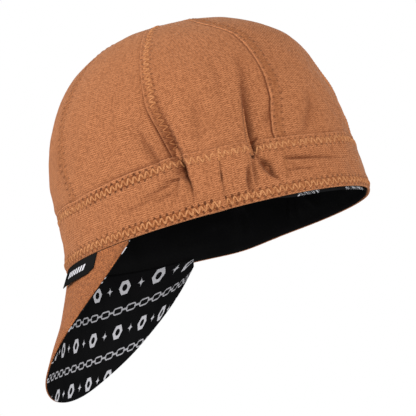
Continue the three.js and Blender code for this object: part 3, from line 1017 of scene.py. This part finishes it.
def zigzag(name, face, first, last, material=THREAD, thickness=1.0, pitch=STITCH_PITCH, swing=STITCH_SWING,
           middle=STITCH_INSET):
    """A zigzag of thread along a seam. Each stitch is a round bar from one needle hole to the next across the
    seam: six-sided rings whose centres rise out of one hole, pass over the cloth and sink into the next."""
    count = int((last - first) / (pitch / 2))
    start = (np.floor(first / pitch) + 1) * pitch + np.arange(count) * pitch / 2
    side = np.where(np.arange(count) % 2 == 0, -1.0, 1.0)
    step = np.linspace(0, 1, 7)
    ends = np.arange(count + 1)
    uneven = 0.07 * pitch * np.sin(1.7 * ends) * np.sin(0.53 * ends + 2)
    wide = 1 + 0.15 * np.sin(2.9 * ends + 1) * np.sin(0.37 * ends)
    along = start[:, None] + step * pitch / 2 + uneven[:-1, None] * (1 - step) + uneven[1:, None] * step
    inset = middle + swing * side[:, None] * (wide[:-1, None] * (1 - step) - wide[1:, None] * step)
    lift = thickness * (-0.3 + 0.38 * np.sin(np.pi * step) ** 0.4) + 0 * along
    centre = face(along, inset, lift)
    up = unit(face(along, inset, lift + 0.5) - centre)
    side_way = unit(np.cross(np.gradient(centre, axis=1), up))
    angle = np.linspace(0, 2 * np.pi, 7)[:-1]
    each = 1 + 0.16 * np.sin(2.3 * np.arange(count)) * np.sin(0.71 * np.arange(count) + 1)
    radius = THREAD_RADIUS * thickness * each[:, None] * (1 - 0.35 * np.abs(2 * step - 1) ** 3)
    ring = 0.5 * up[:, :, None, :] * np.cos(angle)[:, None] + side_way[:, :, None, :] * np.sin(angle)[:, None]
    points = centre[:, :, None, :] + ring * radius[:, :, None, None]
    index = np.arange(points.size // 3).reshape(points.shape[:3])
    cloth = np.broadcast_to(together(step[:, None] * 5.2, angle / (2 * np.pi)), (*index.shape, 2))
    faces = [strip_faces(index), index[:, 0, ::-1], index[:, -1, :]]
    make_piece(name, points, faces, material, "duck", cloth=cloth)


around = run_of(360.0)
zigzag("thread_band_top", band_top_face, 0.0, around - 2)
zigzag("thread_rim", rim_face, 0.0, around - 2)
last = panel_length - 7
for side, word in ((1, "left"), (-1, "right")):
    for number in range(2 if side > 0 else 1, 5):
        face = seam_face(number, side, False)
        name = f"thread_{word}_seam_{number - 1}"
        # This seam's thread darkens towards its lower end, as painted shade of the fold it runs into
        if number == 3:
            zigzag(name + "_low", face, 6.0, 27.0, SOILED_AND_SHADED_THREAD, 0.55)
            zigzag(name + "_middle", face, 27.0, 44.0, SHADED_THREAD, 0.65)
            zigzag(name + "_high", face, 44.0, last, FADED_THREAD, 0.85)
        else:
            zigzag(name, face, 6.0, last, SOILED_AND_SHADED_THREAD, 0.65)
zigzag("thread_back_seam", seam_face(4, -1, True), 6.0, last, FADED_THREAD, 0.45)


# Line of the tack stitches behind the gathers, as (height, turn)
REAR_TACK = [(8, 125.9), (28, 128.3)]


def tack_face(side, line):
    """A point on the band beside an upright line of (height, turn), measured up the band and across."""

    def face(height, inset, lift):
        turn = np.interp(height, *np.array(line, float).T)
        return band_face(side * (run_of(turn) - inset), height, lift)

    return face


for side, word in ((1, "left"), (-1, "right")):
    zigzag(f"thread_tack_{word}", tack_face(side, BAND_SEAM), 29.0, 36.8, FADED_THREAD, 0.9, 1.4, 1.2, 0.2)
    zigzag(f"thread_rear_tack_{word}", tack_face(side, REAR_TACK), 9.0, 29.5, SOILED_AND_SHADED_THREAD, 0.7, 2.6, 1.0, 0.0)

# Camera, light and surroundings
CAMERA_TURN = 101.126
CAMERA_RISE = -10.412
CAMERA_ROLL = -15.183
CAMERA_DISTANCE = 1.0
CAMERA_AIM = np.array([0.0, -0.00318, 0.01929])
PHOTO_WIDTH = 416
FOCAL_PIXELS = 1528.6
SENSOR = 36.0
LIGHT_AIM = np.array([0.0, 0.0, 0.03])
LIGHT_COLOUR = (1.0, 0.985, 0.965)


def stand(name, data, right, back, place):
    """A camera or lamp at a place, with its right side and its back turned the given ways."""
    thing = put(name, data)
    up = np.cross(back, right)
    thing.matrix_world = Matrix([[right[i], up[i], back[i], place[i]] for i in range(3)] + [[0, 0, 0, 1]])
    return thing


def add_camera():
    """A camera at the photograph's angle, rolled as it was."""
    turn, rise, roll = rad(CAMERA_TURN), rad(CAMERA_RISE), rad(CAMERA_ROLL)
    back = np.array([np.sin(turn) * np.cos(rise), -np.cos(turn) * np.cos(rise), np.sin(rise)])
    right = unit(np.cross(-back, [0, 0, 1]))
    right = np.cos(roll) * right + np.sin(roll) * np.cross(right, -back)
    data = bpy.data.cameras.new("camera")
    data.sensor_width = SENSOR
    data.lens = SENSOR * FOCAL_PIXELS / PHOTO_WIDTH
    data.clip_start, data.clip_end = 0.05, 100
    bpy.context.scene.camera = stand("camera", data, right, back, CAMERA_AIM + back * CAMERA_DISTANCE)


def add_light(name, place, size, power):
    """A square soft box at a place, aimed at the cap."""
    data = bpy.data.lights.new(name, "AREA")
    data.shape, data.size, data.energy, data.color = "SQUARE", size, power, LIGHT_COLOUR
    back = unit(np.array(place) - LIGHT_AIM)
    stand(name, data, unit(np.cross([0, 0, 1], back)), back, place)


def add_floor():
    """A pale floor far below the cap, with a faint unevenness of tone."""
    mesh = bpy.data.meshes.new("floor")
    half, level = 45.0, -1.9
    corners = [(-half, -half, level), (half, -half, level), (half, half, level), (-half, half, level)]
    mesh.from_pydata(corners, [], [(0, 1, 2, 3)])
    n = Nodes("pale floor")
    tone = n.span(n.noise(n.place(), 1.5, 2.0), 0.3, 0.7)
    colour = n.mix(tone, (0.975, 0.975, 0.975), (0.985, 0.985, 0.985))
    mesh.materials.append(n.finish(Base_Color=colour, Roughness=0.9))
    put("floor", mesh)


add_camera()
add_floor()
add_light("key", (0.9, -1.68, 0.64), 1.0, 76)
add_light("second", (1.52, 1.06, 0.16), 1.0, 65)
add_light("fill", (-1.75, -0.1, 0.6), 1.2, 30)

world = bpy.data.worlds.new("white surround")
world.use_nodes = True
background = world.node_tree.nodes["Background"].inputs
background["Color"].default_value = (1, 1, 1, 1)
background["Strength"].default_value = 1.0
bpy.context.scene.world = world
bpy.context.scene.view_settings.view_transform = "Standard"
